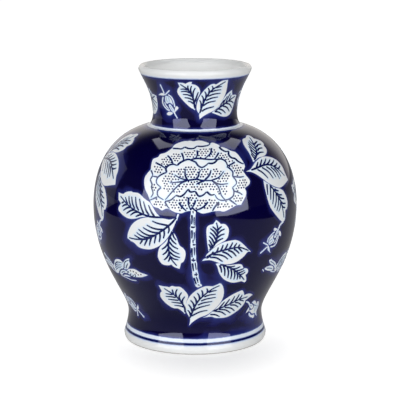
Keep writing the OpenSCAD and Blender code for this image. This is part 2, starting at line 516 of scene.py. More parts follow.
PEONY = {
    "grounds": [
        """
-37.7,1.5! -37.2,7 -35.8,10.8 -31.5,13.2 -29.5,16 -25,18 -21.5,20.8 -19.2,23.4! -17,27.4 -9,32.5 -6,32.7
-4,33.3 -1,32.5 2,33.6 6,33 11.3,30! 12,29! 14.5,30.2 20.5,26 20.7,24.3! 23,24.2 27,22.2 30.3,19.8 35,17.5
40.5,10 42.8,5.8! 43.3,3.5 41.3,-0.5! 44.2,-4.4 47.6,-9 47.3,-11.5 42.6,-14.6! 44,-19 39,-28! 35,-28
24,-32.3 20,-31.6 15.5,-31.7 6,-33.3 2.5,-31.8! -1,-31 -4.5,-31.2! -7.5,-31.8 -11,-33.2 -16,-32.6 -22,-30
-24,-30 -27.5,-31.6 -30.5,-30 -34.5,-29 -37,-26.3 -37.8,-24.5! -40,-20 -42.5,-15.5 -43.7,-10.5 -43,-5.5"""
    ],
    "strokes": [
        (2.2, 1.0, """
-18.6,23.2 -15,23.2 -11,23.1 -8.5,25.3! -5,23.5 -0.5,24 1,25.8 2,26.6; 2,26.4 5,26 10.5,27 12,28.2
12.4,29.8; -23.5,0 -24.2,3.4 -21.8,6.2 -18,7.4 -14.7,6.4! -12,9.2 -5.5,12.4 -2,11 0.5,9.7 2.3,6.8 5.5,4.9
9,6.7 10.8,8.6! 14.5,8.3 17.3,10 18,11.3 21.5,12.2 25.5,9.7 27.3,5.8; -3,12.2 1,13.3 13,12 20,12.2; 20.6,25
21.3,22.9 26,19.1 28.8,19.5; 28.6,19.3 28.6,15.5 31,12.6 34.2,11.5 36.6,9 40.5,6.5 42.3,5.8"""),
        (2.05, 1.0, """
-33.5,7.8 -28,5.5 -24.5,3.2; -22.9,15.4 -19.6,11.4 -18,7.4; -11,18.7 -9.6,14 -9.4,11.5; 1.8,21.5 2,17
0.5,13.5; 13.7,23.8 12.8,18 8.2,13.2; 19.8,18.6 17.8,14.6 15.8,12.3; 34,8.3 30,6.3 26.7,5.2; -15.5,-18.8
-12,-19.6 -9,-17.8 -5.6,-13.5! -3.8,-15.7 0.2,-15.2! 3.2,-19.2 6.8,-18.2 9.5,-15.6! 13.2,-18.5 16.2,-18;
-13.3,-24.5 -10.5,-28.2 -7,-31.3; 10.5,-24 6.5,-28.3 0,-31; -5,-20.3 -5.4,-25 -4,-29.5; 0.3,-22.3 -0.3,-25
-2.6,-29; -4,-30.5 -2.3,-28.8 -0.8,-30 2.5,-32.5; 19.8,-24.3 16.5,-28 14.2,-31.5; -6,-6.2 2,-5.3 4,-6
14,-6.6; -6,-6.3 -8,-2 -8,3.8; 1,-5.2 3,-2 3.2,0 4.6,2.5; 8,-6 11.8,-1.8 13.2,2.5; 8,-6.4 3,-8.3 1,-9.6"""),
        (1.7, 0.92, """
26.5,4.8 29.8,2.3 31.9,-0.6 31.8,-4 34,-6.8 35,-10 31.3,-13.3! 32.6,-16.3 31.8,-20.3 28,-22.5 22,-23.1
18.3,-21.5 16.3,-18.3; 32.5,-4.2 38,-5.2 42,-5; 33,-16.3 37.5,-18 40.3,-20; 28.5,-22.8 35,-27.8; -23.5,0
-28,-2.2 -31.8,-5.7 -32.3,-9.5 -28.3,-13! -31.2,-16 -31,-20 -26,-23; -25,-24.3 -20,-22.8 -15.5,-18.8;
-5.5,-6.2 -12,-4.5 -16.8,-1.8; -6,-6.2 -12,-7.6 -21,-8.8; -6,-6.3 -11,-8.5 -16,-13 -24.5,-22.8; 13.5,-6.3
19.5,-4.2 24,0.8; 14,-6.8 20,-9.8 27.5,-9.8; 14,-6.6 19,-11.8 22,-19.5 24.8,-22.8; -25,-24.5 -22.3,-28.5
-20.8,-29.8; -31.5,-21 -38,-24; -37.5,0.8 -36,-2.5 -36,-4! -38.1,-7.2! -36.2,-11.5 -36.8,-13 -35.3,-18.5
-37.3,-21.8; -31.3,-4.5 -36,-4.2"""),
    ],
    "dots": [
        "-29,8 -26,5 -19.5,8.5 -21.5,13.3 -28.5,10.8",
        "-20.3,15.5 -17.3,8.8 -10.8,12 -12,17.5 -15.5,18.3",
        "-8.5,13.2 -1,14.5 0.3,21 -4,20.5 -9.6,18.8",
        "2.8,14.8 7.5,14.5 10.5,17 12,23.5 3.3,21.5",
        "11,13.6 14.8,13.6 18.3,19.5 15,23 14.3,19",
        "18.5,13.5 23,13 26.5,10.5 28.5,7.2 33,9.3 28.5,13 27.3,16.5 20.8,17.5",
        "28.8,4.8 31.5,2.4 33.3,-1 33.3,-3 40.5,-2.5 40.8,1 34.5,6.5",
        "36,-6.3 41.5,-6.2 45,-9 43.8,-12.5 37,-16.3 33.5,-14.8 36.3,-11",
        "34,-18.3 37.5,-19.5 41,-20.5 36.5,-26.5 30.5,-23.5 33,-21.5",
        "21,-24.8 27,-24.6 29,-26.5 32,-27.6 28,-29.6 17.5,-30",
        """
-22,-25.5 -16,-21.5 -8,-19.8 -4,-18.2 0.5,-18.6 4,-21.5 16,-21 20.5,-24 16.5,-29.5 -5,-29.8 -12,-31
-18.5,-29.3""",
        "-33,-22.5 -23,-28 -27,-29.3 -35.5,-26.3",
        "-34,-8 -33.2,-19 -35.5,-19.5 -36.5,-15",
        "-33,-2.2 -26.6,0 -25.5,3.2 -34,5.6 -35,1",
        """
-24,-3 -21,1 -12,3.5 -3,6.6 2,4.6 8,3.6 13,4.6 27,-1 28.5,-5 26.5,-13 27,-18 24,-20 15,-14.5 9,-13.5 3,-15
-2,-13.3 -5,-11.5 -13,-16.5 -18,-16 -22,-16.5 -25.5,-14 -26.5,-5""",
    ],
}

STEM = {
    "grounds": [
        """
-3.2,32! -3.4,28 -3.8,26 -3.4,22 -3.6,18 -3.9,17 -3.5,12 -3.5,4 -3.7,2 -3.3,-4 -3.3,-11.5 -2.2,-24 -2.1,-26
0.6,-37.8! 2.6,-39 4.2,-38 5.8,-37.6! 5.4,-36 4.4,-35.2! 3.7,-31 3.1,-29.5 2.8,-25 1.8,-20 1.6,-15 0.9,-11.6
0.9,-8 0.4,-2 0.6,2 0.2,12 0.6,16.5 0,20 0.8,32!"""
    ],
    "strokes": [
        (2.0, 1.0, """
-2.6,27.2 -2.4,23.5 -2.7,19.4; -3.3,17.4 -1.5,16.9 0.2,17.5; -2.6,14.6 -2.4,11 -2.6,7.4; -1.8,2.4 -0.8,1.9
0.4,2.5; -2.6,-0.8 -2.4,-9.2; -2.9,-11.3 -1,-12.2 0.5,-11.3; -2.1,-14.6 -1.2,-22.2; -0.6,-25.4 0.8,-26
2.2,-25; -0.8,-28.8 1,-35.6"""),
        (1.45, 0.9, """
-0.6,25.5 -0.8,21 -0.6,18.4; -0.7,13 -0.5,9 -0.8,5.5; -0.6,0 -0.3,-7.4; 0.1,-14 1,-21; 1.1,-28 2.6,-34"""),
        (1.3, 1.0, """
-1.6,30.6 -1.5,28.4; -1.7,6.4 -1.6,3.4; -1.4,-9.6 -1.2,-13.4; 0.9,-23.4 1.3,-27.2; 2.4,-36 3.9,-36.9;
1.9,-29.4 2.5,-32.6"""),
    ],
}

LEFT_SPRAY = {
    "grounds": [
        """
-41.3,22! -35.5,21.6 -33,23.2 -27,24.8 -25,24.3 -20,24.3 -17.5,23.4 -13,20.3 -7.5,17.3 -3,11.3 0,8 3,6!
-2,5.7 -11,5.6 -17,4.5 -20,3.3 -29.5,2.3 -40,7.5 -40,10 -37.5,13.2! -38.8,14.8 -40.3,15.8""",
        """
16,6.5! 10,4.8 5,5.3 -10,5.2 -18,2.5 -24,-1.8 -27.5,-6.5 -29.8,-12 -30.2,-15! -26.5,-17 -23.5,-18 -19.5,-21
-16.5,-22 -8,-22 0,-18.5 6,-13 11,-6 15,3""",
        """
12,-4.5! 15,-9 18,-17 20.5,-19 22,-21.5 22.2,-25 20,-31.3 17.8,-32.8! 16,-38.3! 11.5,-36.5 9.5,-34.5!
7.5,-35.3 2,-34.8 -1.3,-29.5 -1.3,-26 0.8,-19.5 5.5,-14.8 10,-9""",
        "15.2,4.6! 16.6,9.7 17.6,9.4 16.8,6.8 16.2,4.4!",
    ],
    "strokes": [
        (RIB_W, 1.0, """
3,6.1 -9,6.3 -26,11.5 -38.5,19.3; 15.5,6.5 9,-0.5 -10,-13 -21,-14.7 -28.5,-14.4; 12,-5 8.7,-14 9.5,-28
14,-35.5"""),
        (VEIN_W, 1.0, """
-3.3,6.5 -6,10 -9,15.5; -8,7 -11,11 -13.8,18; -13,8 -15.5,12.5 -17.8,19.8; -18,10 -20.5,14 -21.8,21; -22,11
-24.5,15 -25.8,20.7; -26,12.3 -28,16 -28.8,20.7; -29.5,14 -31,16 -32.7,19.4; -30,13.5 -33,12.8 -36,11;
-26,11.8 -30,10.8 -34.5,8; -22,10.3 -26,9 -30.8,6; -18,9 -22.5,7.8 -26.5,5; -13.5,7.5 -17.5,6.3 -21,4.6;
-34,15.2 -36.8,13.8"""),
        (VEIN_W, 1.0, """
9,-0.3 -1,1.2 -5.3,2.6; 5,-3.8 0,-4 -6,-3 -10.3,-1.2; 1,-6.8 -4,-7 -9,-5.8 -13.8,-3.7; -3,-9.3 -8,-10
-13,-8.7 -18.3,-5.7; -7,-11.5 -12,-12 -16,-11 -20.3,-8.7; -12,-13.5 -16,-13.8 -22.8,-11.2; 9,-1 9.5,-4
8.5,-7; 5,-4 5.3,-8 4.3,-11.5; 1.5,-6.5 1.5,-11 0.5,-15; -2,-9 -3.8,-16.5; -6,-11 -7.5,-15 -8.5,-19;
-10,-13.2 -13.3,-19.5; -14.5,-14.5 -17.5,-18.5"""),
        (VEIN_W, 1.0, """
12.3,-5 13,-9 15.3,-12.5; 10,-9.5 12,-13 15.3,-16; 9,-13.5 12,-17.5 16.5,-20; 8.6,-18 12,-22 17.3,-24.5;
8.8,-22.5 12.5,-26 17.5,-27.7; 9.5,-27 12,-29 16,-29.8; 9,-14 6,-18.5 2.5,-21.2; 8.5,-19 6,-23.5 2.8,-26;
8.8,-23.5 6.5,-28 3.7,-30.7; 9.3,-27 8.3,-30 7,-32"""),
    ],
}

RIGHT_SPRAY = {
    "grounds": [
        """
-11.5,4.3! -13.3,15 -13.6,24 -12.5,26 -10.5,27 -8.3,27.3! -5.7,30.8! -3,28.6 -2,27.3! 1.5,27 4.8,23 4.2,16
2.5,13.5 -2,11 -8,7.2""",
        """
-16.3,-4.3! -15,-2.6 -13,-1.9 -13.5,0 -3,10 10,12.8 13,12.2 16,10.5 26.3,0.6! 23.5,1 19,-3.5 12.5,-7.5
5,-8.7 1,-8 -10,-3.8""",
        """
-4.8,-7.5! -3.3,-10 -0.8,-17 4,-23.5 12,-27.8 20.3,-27.5! 24,-29.2 25.2,-28! 25,-25.5 23.5,-21.3! 25,-20.5
25.7,-18.5 25.3,-16.3 23.8,-15 20.5,-14! 18.8,-10.8 16.5,-9.8 5,-9.5 -2,-7.2""",
    ],
    "strokes": [
        (RIB_W, 1.0, """
-10.8,5 -7,10 -4.8,16.5 -4.5,24 -5.6,28.7; -13,-0.8 -7.5,2 0,4.3 15,5.8 24,2; -1,-8.3 6,-11.2 12,-15
18,-20.5 23,-26.5; -13,-1.9 -11,-0.9 -9,0.8"""),
        (VEIN_W, 1.0, """
-9.7,6.5 -10.5,9 -11.8,10.8; -8.3,8 -9.8,11.5 -11.5,14.3; -7,10.5 -8.8,14.5 -11.5,17.6; -5.7,14 -8,18
-11,20.7; -5,17.5 -7.5,21.3 -10.7,24; -4.7,20.5 -6.3,23.3 -8.9,25.5; -6.5,11 -3.5,13.5 0.5,15.2; -4.8,15.5
-2,17.8 1.5,18.8; -4.5,19 -2,21.5 1.5,23; -4.5,22 -3,23.8 -1,25.3"""),
        (VEIN_W, 1.0, """
-8.7,1.5 -7.5,4; -5,2.8 -4,5 -3.5,7.5; -1.5,3.8 -0.3,6.5 0.5,9.5; 2,4.8 3.5,7.5 4.5,10.3; 6,5.7 7.5,8
8.8,11; 10,6.3 12.5,10; 14,6.5 15.5,8.5; -10,-1.3 -5,-1.8 1,-5.8; -8,1 -3,0.8 2,-1 5.5,-4; 0,3.3 4,1.5 9,-3;
5,4.3 9,2.3 12.8,-2; 10,5 13,2.8 15.3,0.2; 14,5.8 18,1.5"""),
        (VEIN_W, 1.0, """
-1.5,-9 0,-12 1,-16.5; 2,-9.8 3.5,-14 4,-20; 5.5,-11.5 7,-16 7,-22.5; 8.8,-13.3 10,-18 9.8,-24; 12,-15.5
13.2,-20 12.8,-24.8; 14.8,-18 16,-21.5 15.8,-25.3; 17.5,-21 18.5,-23.5 18.5,-25; 5,-10.8 9,-11.5 12.5,-11;
9.5,-13.5 13,-13.8 17.5,-12.3; 13,-16 16,-16 21.5,-14.5; 16,-18.3 18.5,-18 22,-16.5; 18.3,-20.3 20.5,-20
23,-18.3"""),
    ],
}

BOTTOM_SPRAY = {
    "grounds": [
        """
-37.7,21.5! -35.5,21 -29.5,20.6 -28.3,20.2! -26,21.9 -23,21.4 -19,21.3 -12.8,14 -12,11 -13.2,4.5 -13.9,-9!
-15.5,-7 -20,-3.2 -24,-3 -30,1 -35.3,7.5 -36.3,11 -35.8,13.7 -34.7,15.2!""",
        """
-10,-20.5! -9.4,-17 -9.5,-13 -10.2,-12! -13,-5.5 -13.3,3 -10.7,11 -6,17.3 0,21.5 3,22.3 8.5,21.8! 14.2,24.7!
15.8,23.5 17.8,18 18,10 15,1.5 6,-9 -2,-13 -8,-18""",
        """
1.5,-12.8! 4.5,-11.5 13.3,-2 17.5,4 25,9.8 32.5,13.2 35.8,14! 37,12.3 38.6,7.3! 40.5,8.2 43.5,8.5 48.5,6!
40.5,1! 40.3,-1 36,-7 25,-13.5 20.5,-14.5 12,-13.7 9,-12.3""",
    ],
    "strokes": [
        (RIB_W, 1.0, """
-13.9,-7 -14.2,-3 -17.5,4.5 -22.5,11 -32.8,18.7; -9.6,-13 -4.3,4 0.5,11.5 8,19 14,22.3; 9.5,-6.3 24,-0.3
33,3.5 42.5,5"""),
        (VEIN_W, 1.0, """
-16,1 -16.7,6 -14.8,11; -18.3,5.5 -19.5,10.5 -17.6,15.5; -21.5,9.8 -22.6,14.5 -21.4,19; -24.5,13 -25.7,18.3;
-15,-1.3 -19,0 -23.3,0.3; -17,3 -26,3.7; -19.8,6.2 -29,6.8; -22.3,9.3 -26,9.8 -31.3,9.8;
-25,12.3 -31.5,13"""),
        (VEIN_W, 1.0, """
-9,-11 -10,-7 -11.8,-4.5; -8,-6 -9,-2 -11.3,2; -6.5,-1 -7.3,3 -9.8,7; -4.7,3.5 -5.3,7.5 -7.3,11.3; -2.2,8
-2.8,12 -4.5,15.2; 0,11.5 0,15 -1,18.3; 3.8,15.5 4,17.8 3.2,20; -8.5,-11.3 -4,-8 0,-6 5,-5; -6.8,-5 -3,-2
7,1.4; -3.5,1.3 1,3.7 8.7,5; -1,6 3,8 11.5,9.5; 1.5,10.5 5,12.3 11.3,13.1; 5,15.3 8,16.6 11.8,17.2"""),
        (VEIN_W, 1.0, """
15,-3.8 19.7,3.5; 19.5,-2 24.3,6; 24.5,0 27,4 28.8,8.6; 29,2.2 31.5,6 33.2,10; 33.5,4 35.3,6.5 36.3,8.7;
7.5,-9.8 12,-10.5 16,-13; 11,-6.3 17,-8 21.7,-12; 15,-5 21,-6.3 26,-10.5; 20,-3.3 26,-5 30,-9; 25,-1.3
30,-2.3 33.5,-5.5; 29.5,1 33.5,-0.5 36.3,-3.5; 34,3 37,1.8 38.8,0.5"""),
    ],
}

SHOULDER_SPRAY = {
    "grounds": [
        """
-13,12! -11.3,22 -10,30 -5.5,36.5 -1,37.5! 1,38.5 3.5,40 6.5,39.8 7.8,37.5 8.3,34.5! 10.5,33.5 15,28.3 14,26
12.3,24.5! 12.5,21.5 10.5,18.8 4.5,15.8 -5,15""",
        """
-24.5,4.7! -20,5.8 -10,12 0,15 10,13.3 19,8 23.8,1 24.3,-3 27,-10.5! 10,-14 5,-13 -4,-8.5 -16,1.5
-20,3.8""",
        """
-10,-5! -10.5,-12 -7.5,-27 -1,-35 8,-42.5 11,-44! 13.5,-42 14.5,-34! 17,-33.5 18.8,-30.5 18.8,-26 14,-18
10,-15.3 1,-12.3""",
        "10.6,-42.6! 5.6,-44.8 3.4,-47.8! 4.6,-48.4! 6.8,-46 11.6,-44!",
    ],
    "strokes": [
        (RIB_W, 1.0, """
-11,13.5 -4,19 0.5,26.5 2,31 4.5,37; -19,5.3 -2,7.7 4,6.8 13,2.3 22,-6; -4,-9.5 3,-18.5 8.5,-28 12,-40"""),
        (VEIN_W, 1.0, """
-9.5,14.8 -10.2,17.5 -10,20; -7.5,16 -8.6,20 -8,23.5; -5.2,18.2 -7,23 -6.5,27.5; -3.4,20.5 -5,26 -4.5,30.5;
-1.4,23.5 -2.8,28.5 -2.5,32.5; 0.3,27 -0.4,31 0,34; -4.5,18 0,19.5 5.5,19; -1,21.5 3,23.3 8,23.2; 1,25 5,27
10.3,27.2; 2,28.5 5,29.8 8.8,30.8"""),
        (VEIN_W, 1.0, """
-13,6.4 -8,11.3; -8.5,7.2 -2,13; -4,7.8 -0.5,9.8 3.5,12.8; 0.5,7.5 4.2,8.8 8.8,11.3; 4.8,6.6 9,7.4 13.8,9.7;
9.4,4.6 13,4.9 17,6.5; 13.6,1.9 16.8,2 20,3.3; -12.5,5 -8,1.5 -3.8,-4; -6.5,6 -1,1.5 2.8,-5; -1,6 4,1.5
7,-4.8; 4.5,5 9,0 11.8,-7; 9,3.5 13,-1 15,-5.5"""),
        (VEIN_W, 1.0, """
-7,-8.5 -8,-12 -8.8,-17.5; -3.5,-10.5 -6,-22; -0.5,-14 -2,-20 -4,-26; 2,-17.5 1,-24 -1.8,-29.5; 4.5,-21.5
3.8,-27 1,-32.3; 7,-26 6.3,-30 3.5,-33.5; 1,-13.5 3.5,-15.5 6.5,-16.3; 3,-17.5 6,-19.5 10.5,-20.3; 5,-20.5
9,-23 14,-24.3; 6.5,-24 10,-27.3 15.5,-28.5; 8.5,-29 11,-31 14.5,-32"""),
    ],
}

NECK_SPRAY = {
    "grounds": [
        """
0,-4.3! 1,4 4.2,11.5 3.8,15 2,18 -0.5,19.5 -3,20! -2.5,22.3! -5,22 -8,20.2! -10,21 -14.5,21.3! -13,17.3!
-14.5,15 -15,12 -13.5,8.5 -5,-1""",
        """
4,-12! 3.5,-9 3.8,-6.5 3,-7! 1.5,-4 1.5,0 4.5,9 13,19 16.5,19.8 17.8,19! 24,22.5 29.5,23! 27.5,9 19,-3.5
10,-8 6.5,-10""",
        """
14.5,-7! 20,-3 26,4.8 30,9 35,12! 35.6,9 36.5,6.8! 40,6.8 43.4,6! 37.8,-6 35,-9.3 32,-11 28.5,-11.5
24,-10.8""",
    ],
    "strokes": [
        (NECK_RIB_W, 1.0, """
0,-3 -1.8,7 -6,14.5 -12.5,19.7; 4,-7 7,2 12,11 16,15 27,21.5; 18,-5.5 23,-2.5 34,3 40.4,5.2"""),
        (NECK_VEIN_W, 1.0, """
-0.3,2.5 2.8,12.3; -1.5,7 -1.5,12 0.3,16.5; -3,10.5 -3.7,14.5 -2.8,18.5; -5.3,14 -6,16.5 -5.8,18.8; -0.8,1
-3.5,3 -6,3.7; -1.5,4.5 -5,6.3 -8.8,6.8; -2.5,8 -6,9.5 -10.3,9.8; -4,11.3 -8,12.8 -12,12.3; -6,14 -9,15
-12.3,14.7"""),
        (NECK_VEIN_W, 1.0, """
5,-3 5,2 3.8,4.5; 6.8,2 7,6 5.5,9; 9,6.5 9.3,10 8,12.8; 11.5,10.5 12,13.5 11,16.3; 15,14.3 15.3,16 14.3,18;
5.5,-5.5 9,-3.5 16.5,-1.7; 6.5,-0.8 11,2 18,3.3; 9,4 14,6 20,6.8; 11,8 16,9.7 22.5,10.2; 13.5,12 18,13.3
23,13.7; 18,16 23.5,17"""),
        (NECK_VEIN_W, 1.0, """
22,-3 24,0.5 26.6,3.6; 25,-1.4 27,2.5 30,6.6; 28.4,0.3 30.4,4.4 33.4,9; 32,2 35,7.4; 17,-6 21,-7 24,-9;
20.6,-4 25,-5.6 28.5,-8.6; 24.6,-1.8 30,-3.7 33.5,-7.6; 28.4,0.3 33.4,-1.4 37,-5; 32,2 36,1 39.4,-1"""),
    ],
}

BUD = {
    "grounds": [
        "-10.5,4.9! -6,7.4 -3,7.2 -1.5,6.3! -3.5,5.4 -8.5,5.2",
        "-0.9,5.3 1,5 2.4,4 3.5,2 4.1,-0.5 4.1,-2.4! 2,-0.9 0.8,-0.9 -1.6,-2 -2.6,-1 -3.2,1 -2,4.8",
        "0,-2.6! 1.3,-2.1 3.4,-4.6 5.4,-8 5.4,-9.2! 3.8,-9 2.2,-7.8 0.1,-4.2",
        "5.6,-8.8! 5.6,-6.5 6.3,-4.6 7.5,-3.5 8.6,-4 9,-5.1",
        "-3,-11 -0.3,-8.9 3.4,-9.6 2.6,-10.8 0.8,-11.8 -1.4,-12",
    ],
    "ribbons": [
        (1.2, "-4.1,15.5 -2.7,7.8; 1.8,6.3 3.7,5 4.9,2.5 5.5,-0.5 5.7,-3.8"),
        (1.2, "-5,3.4 -6.3,0.7 -6.5,-1.9 -5.6,-4.2 -1.8,-7.3 0,-7.5"),
        (1.05, "-1.5,6.4 3.4,10.5; 4.5,-9 7.3,-13.5"),
        (1.0, "-4,-1.2 -3.6,-3 -1,-6"),
    ],
    "strokes": [
        (0.5, 0.7, "-1.2,4.4 -1.6,1.8 -0.8,-0.6; 1.1,4.2 1.3,1.8 0.9,-0.2; 1.4,-3.6 2.4,-5.8 3.8,-7.8"),
    ],
}

OPEN_BUD = {
    "grounds": [
        "-9.4,6.4! -8.4,4 -6.4,2.4 -4.2,0.8 -2.5,0.9 -1.9,2 -2.9,3.6 -5,5.1 -7,6.6",
        "-8.8,3.4! -9.5,1 -9.9,-2.2! -7,-0.4 -7.4,1.6",
        """
-7.8,8.5! -5.2,9.7! -2.2,8.2 0.4,5.6 2.6,4.4! 1.4,6.6! 3.4,6.8 7.4,2.6 8.6,0 8.4,-3 7.6,-5! 9.8,-9.8! 7,-7.8
5,-5.6 2.4,-5.4 0,-4.9 -2,-3.9 -3.8,-2.4 -6.6,-1.2! -5.6,-0.3 -3.6,-0.6 -1.8,-0.2 -0.6,1.2 -1.2,3 -3,4.6
-4.8,6.4""",
        """
-5.7,-3! -5.3,-4.8 -3.9,-6.6 -1.5,-8 0.6,-8.8 2,-9.8! 3.6,-9.2 4.9,-8! 4,-6.9 1.4,-6.8 -1,-6.2 -3,-5
-4.4,-3.4""",
    ],
    "ribbons": [(1.3, "-16,11.2 -13,9.6 -8.6,5.6")],
    "strokes": [
        (0.9, 0.9, "-3.6,5.6 -1.4,3.9 0.8,3.1 3.6,1.8; -7.6,5.2 -5.6,3.8"),
        (0.7, 0.6, "1.8,0.8 3,-1.6 3,-4; 4.4,2.6 6.2,0 6.6,-3"),
    ],
}

BUTTERFLY = {
    "grounds": [
        """
25.4,-2.6! 22,-1.7 18.8,-1.2 15,0.8 12,1.4 8.8,0.8 6,0.2 3.8,-1.4 1.8,-3.4 2.1,-4.6! 9.5,-7 13.8,-6.4
18.2,-5.6""",
        """
-0.1,-1.2! 0.4,4.7 2.7,6.9 5.4,9.1 8.2,10.5 10.4,11.1! 9.3,8.8 9.3,7.4! 9.6,6.1 8.8,4.4 6.6,1.9 4.9,0.2
2.5,-0.8""",
        """
-14.5,0.5 -13,3 -7.9,6.9 -1.8,7.2 0.2,5.8! -0.4,2 -1.4,-0.6! -4,-2.2 -7.5,-4 -10.5,-6.8 -13.5,-8 -16,-6.5
-17.5,-3.5 -16.5,-1""",
        "-9.5,-7.5! -7,-4.8 -3.5,-2.8 0,-2.3 2,-3.2! 1.5,-4.8 -2.5,-5.2 -7.5,-8.6",
        "-4.8,-8.8! -2,-7.2 4,-7.2 4.6,-8!",
        """
-33,6.8! -31,7.8 -27.5,5.8 -24,4.2 -20.5,2 -17.8,-0.6! -15.4,-3.9! -17,-4.3 -20,-1.8 -24,0.6 -28.5,2.6
-31,4.4""",
        "-35.3,0! -33,0.9 -28.8,1.1 -25,0 -21.5,-2 -19.5,-4.5! -22,-5.2 -26.5,-4.2 -31,-2.8 -33.8,-1.4",
    ],
    "ribbons": [
        (0.9, "-23,-5.6 -19,-7 -14,-8.2; -37.2,-0.8 -35,-2.9"),
        (0.7, "-8,-9.4 0,-10.5 4,-11.2 10,-10.8"),
    ],
    "strokes": [
        (1.3, 1.0, """
0.6,0 1.6,3.6 4.4,7 9.2,9.4; 2.6,0.2 4.6,3 7,5.8; -13.4,0.2 -9.6,3.4 -5.6,4.6 -0.6,4.6; -10.1,-6.4 -6.8,-3.6
-2.9,-1.6 0,-1.4"""),
        (1.2, 1.0, """
7.1,-4.2 4.9,-6; 9.6,-4.9 7.3,-7.2; 12,-5.2 10.4,-7; 3.2,-2.6 2.6,-4.4; 4.6,-2.2 4.2,-3.6"""),
        (1.0, 0.75, """
-14.4,-1.6 -9.6,1.6 -2.4,2.8; -15,-3.4 -9.6,-0.2 -2.6,1; -15,-5.2 -10,-2.2 -4.6,-0.6; -30.6,5.6 -26,3.4
-20,-0.4; -32,-0.6 -27.4,-1.5 -22.4,-3.2; -6.4,-6.6 -3,-4.2 0,-3.8"""),
    ],
    "spots": "4.3,-3.3 7.4,-1.3 10.7,-1.4 13.5,-2.3 15.3,-3.8 11.6,-4.2 18.4,-3",
}

# Each motif's drawing and chart, and the repeats that have it where that isn't all three
MOTIFS = {
    "peony": (PEONY, Chart(0, 160)),
    "stem": (STEM, Chart(0, 100)),
    "left_spray": (LEFT_SPRAY, Chart(-20, 118)),
    "right_spray": (RIGHT_SPRAY, Chart(15, 92)),
    "bottom_spray": (BOTTOM_SPRAY, Chart(5, 44)),
    "shoulder_spray": (SHOULDER_SPRAY, Chart(50, 155)),
    "shoulder_bud": (BUD, Chart(38, 92, turn=112, at=(9.8, 2.3))),
    "lower_bud": (BUD, Chart(56, 33, turn=220, at=(10, -1)), (1, 2)),
    "open_bud": (OPEN_BUD, Chart(56, 33), (0,)),
    "butterfly": (BUTTERFLY, Chart(72, 74)),
    "neck_spray": (NECK_SPRAY, Chart(0, 210)),
    "neck_bud": (BUD, Chart(-36, 212)),
}


# -------------------- materials
class Nodes:
    """Short calls that add nodes to a tree."""

    def __init__(self, tree):
        self.tree = tree

    def put(self, socket, value):
        if isinstance(value, bpy.types.NodeSocket):
            self.tree.links.new(value, socket)
        elif isinstance(value, tuple) and len(value) == 3 and socket.type == "RGBA":
            socket.default_value = (*value, 1)
        else:
            socket.default_value = value

    def new(self, kind, *values, **settings):
        """A node with its settings, and with the values put into its first inputs."""
        node = self.tree.nodes.new("ShaderNode" + kind)
        for name, value in settings.items():
            setattr(node, name, value)
        for socket, value in zip(node.inputs, values, strict=False):
            self.put(socket, value)
        return node

    def maths(self, operation, a, b=0.0, c=0.0):
        return self.new("Math", a, b, c, operation=operation).outputs[0]

    def spread(self, value, low, high, to_low=0.0, to_high=1.0):
        """value, mapped from the range low to high and held within the new range."""
        return self.new("MapRange", value, low, high, to_low, to_high).outputs[0]

    def ramp(self, value, *stops):
        """A colour ramp with stops (place, colour)."""
        n = self.new("ValToRGB", value)
        while len(n.color_ramp.elements) < len(stops):
            n.color_ramp.elements.new(0.5)
        for element, (place, colour) in zip(n.color_ramp.elements, stops, strict=True):
            element.position, element.color = place, (*colour, 1)
        return n.outputs[0]

    def mix(self, share, a, b):
        n = self.new("Mix", share, data_type="RGBA")
        self.put(n.inputs[6], a)
        self.put(n.inputs[7], b)
        return n.outputs[2]


class Shader(Nodes):
    """A material. Colours are linear red, green and blue, and sizes are in millimetres."""

    def __init__(self, name):
        self.material = bpy.data.materials.new(name)
        self.material.use_nodes = True
        super().__init__(self.material.node_tree)
        self.surface = self.tree.nodes["Principled BSDF"]
        self.coordinates = self.new("TexCoord").outputs["Object"]

    def mapped(self, shift=(0, 0, 0), scale=(1, 1, 1)):
        return self.new("Mapping", self.coordinates, shift, (0, 0, 0), scale).outputs[0]

    def noise(self, size, detail=3.0, stretch=(1, 1, 1)):
        """Noise with features of about that size, from 0 to 1."""
        n = self.new("TexNoise", self.mapped(scale=stretch))
        n.inputs["Scale"].default_value = 1 / (size * MM)
        n.inputs["Detail"].default_value = detail
        return n.outputs["Fac"]

    def waver(self, size, detail, low, high):
        """Noise that wanders between two values."""
        return self.spread(self.noise(size, detail), 0.3, 0.7, low, high)

    def attribute(self, name):
        return self.new("Attribute", attribute_name=name).outputs["Fac"]

    def finish(self, colour, roughness, relief, relief_mm, **others):
        """Sets the surface. relief is a height from 0 to 1 that stands relief_mm at most."""
        bump = self.new("Bump")
        bump.inputs["Distance"].default_value = relief_mm * MM
        self.put(bump.inputs["Height"], relief)
        inputs = {"Normal": bump.outputs[0], "Base Color": colour, "Roughness": roughness}
        for name, value in (inputs | others).items():
            self.put(self.surface.inputs[name.replace("_", " ")], value)
        return self.material

    def glazed(self, colour, level, smooth=0.05, rough=0.11, **others):
        """The glossy surface of a fired glaze, with the faint waves that every glazed piece has."""
        roughness = self.waver(9, 3, smooth, rough)
        waves = self.noise(26, 1.0)
        return self.finish(colour, roughness, waves, 0.05, Specular_IOR_Level=level, **others)


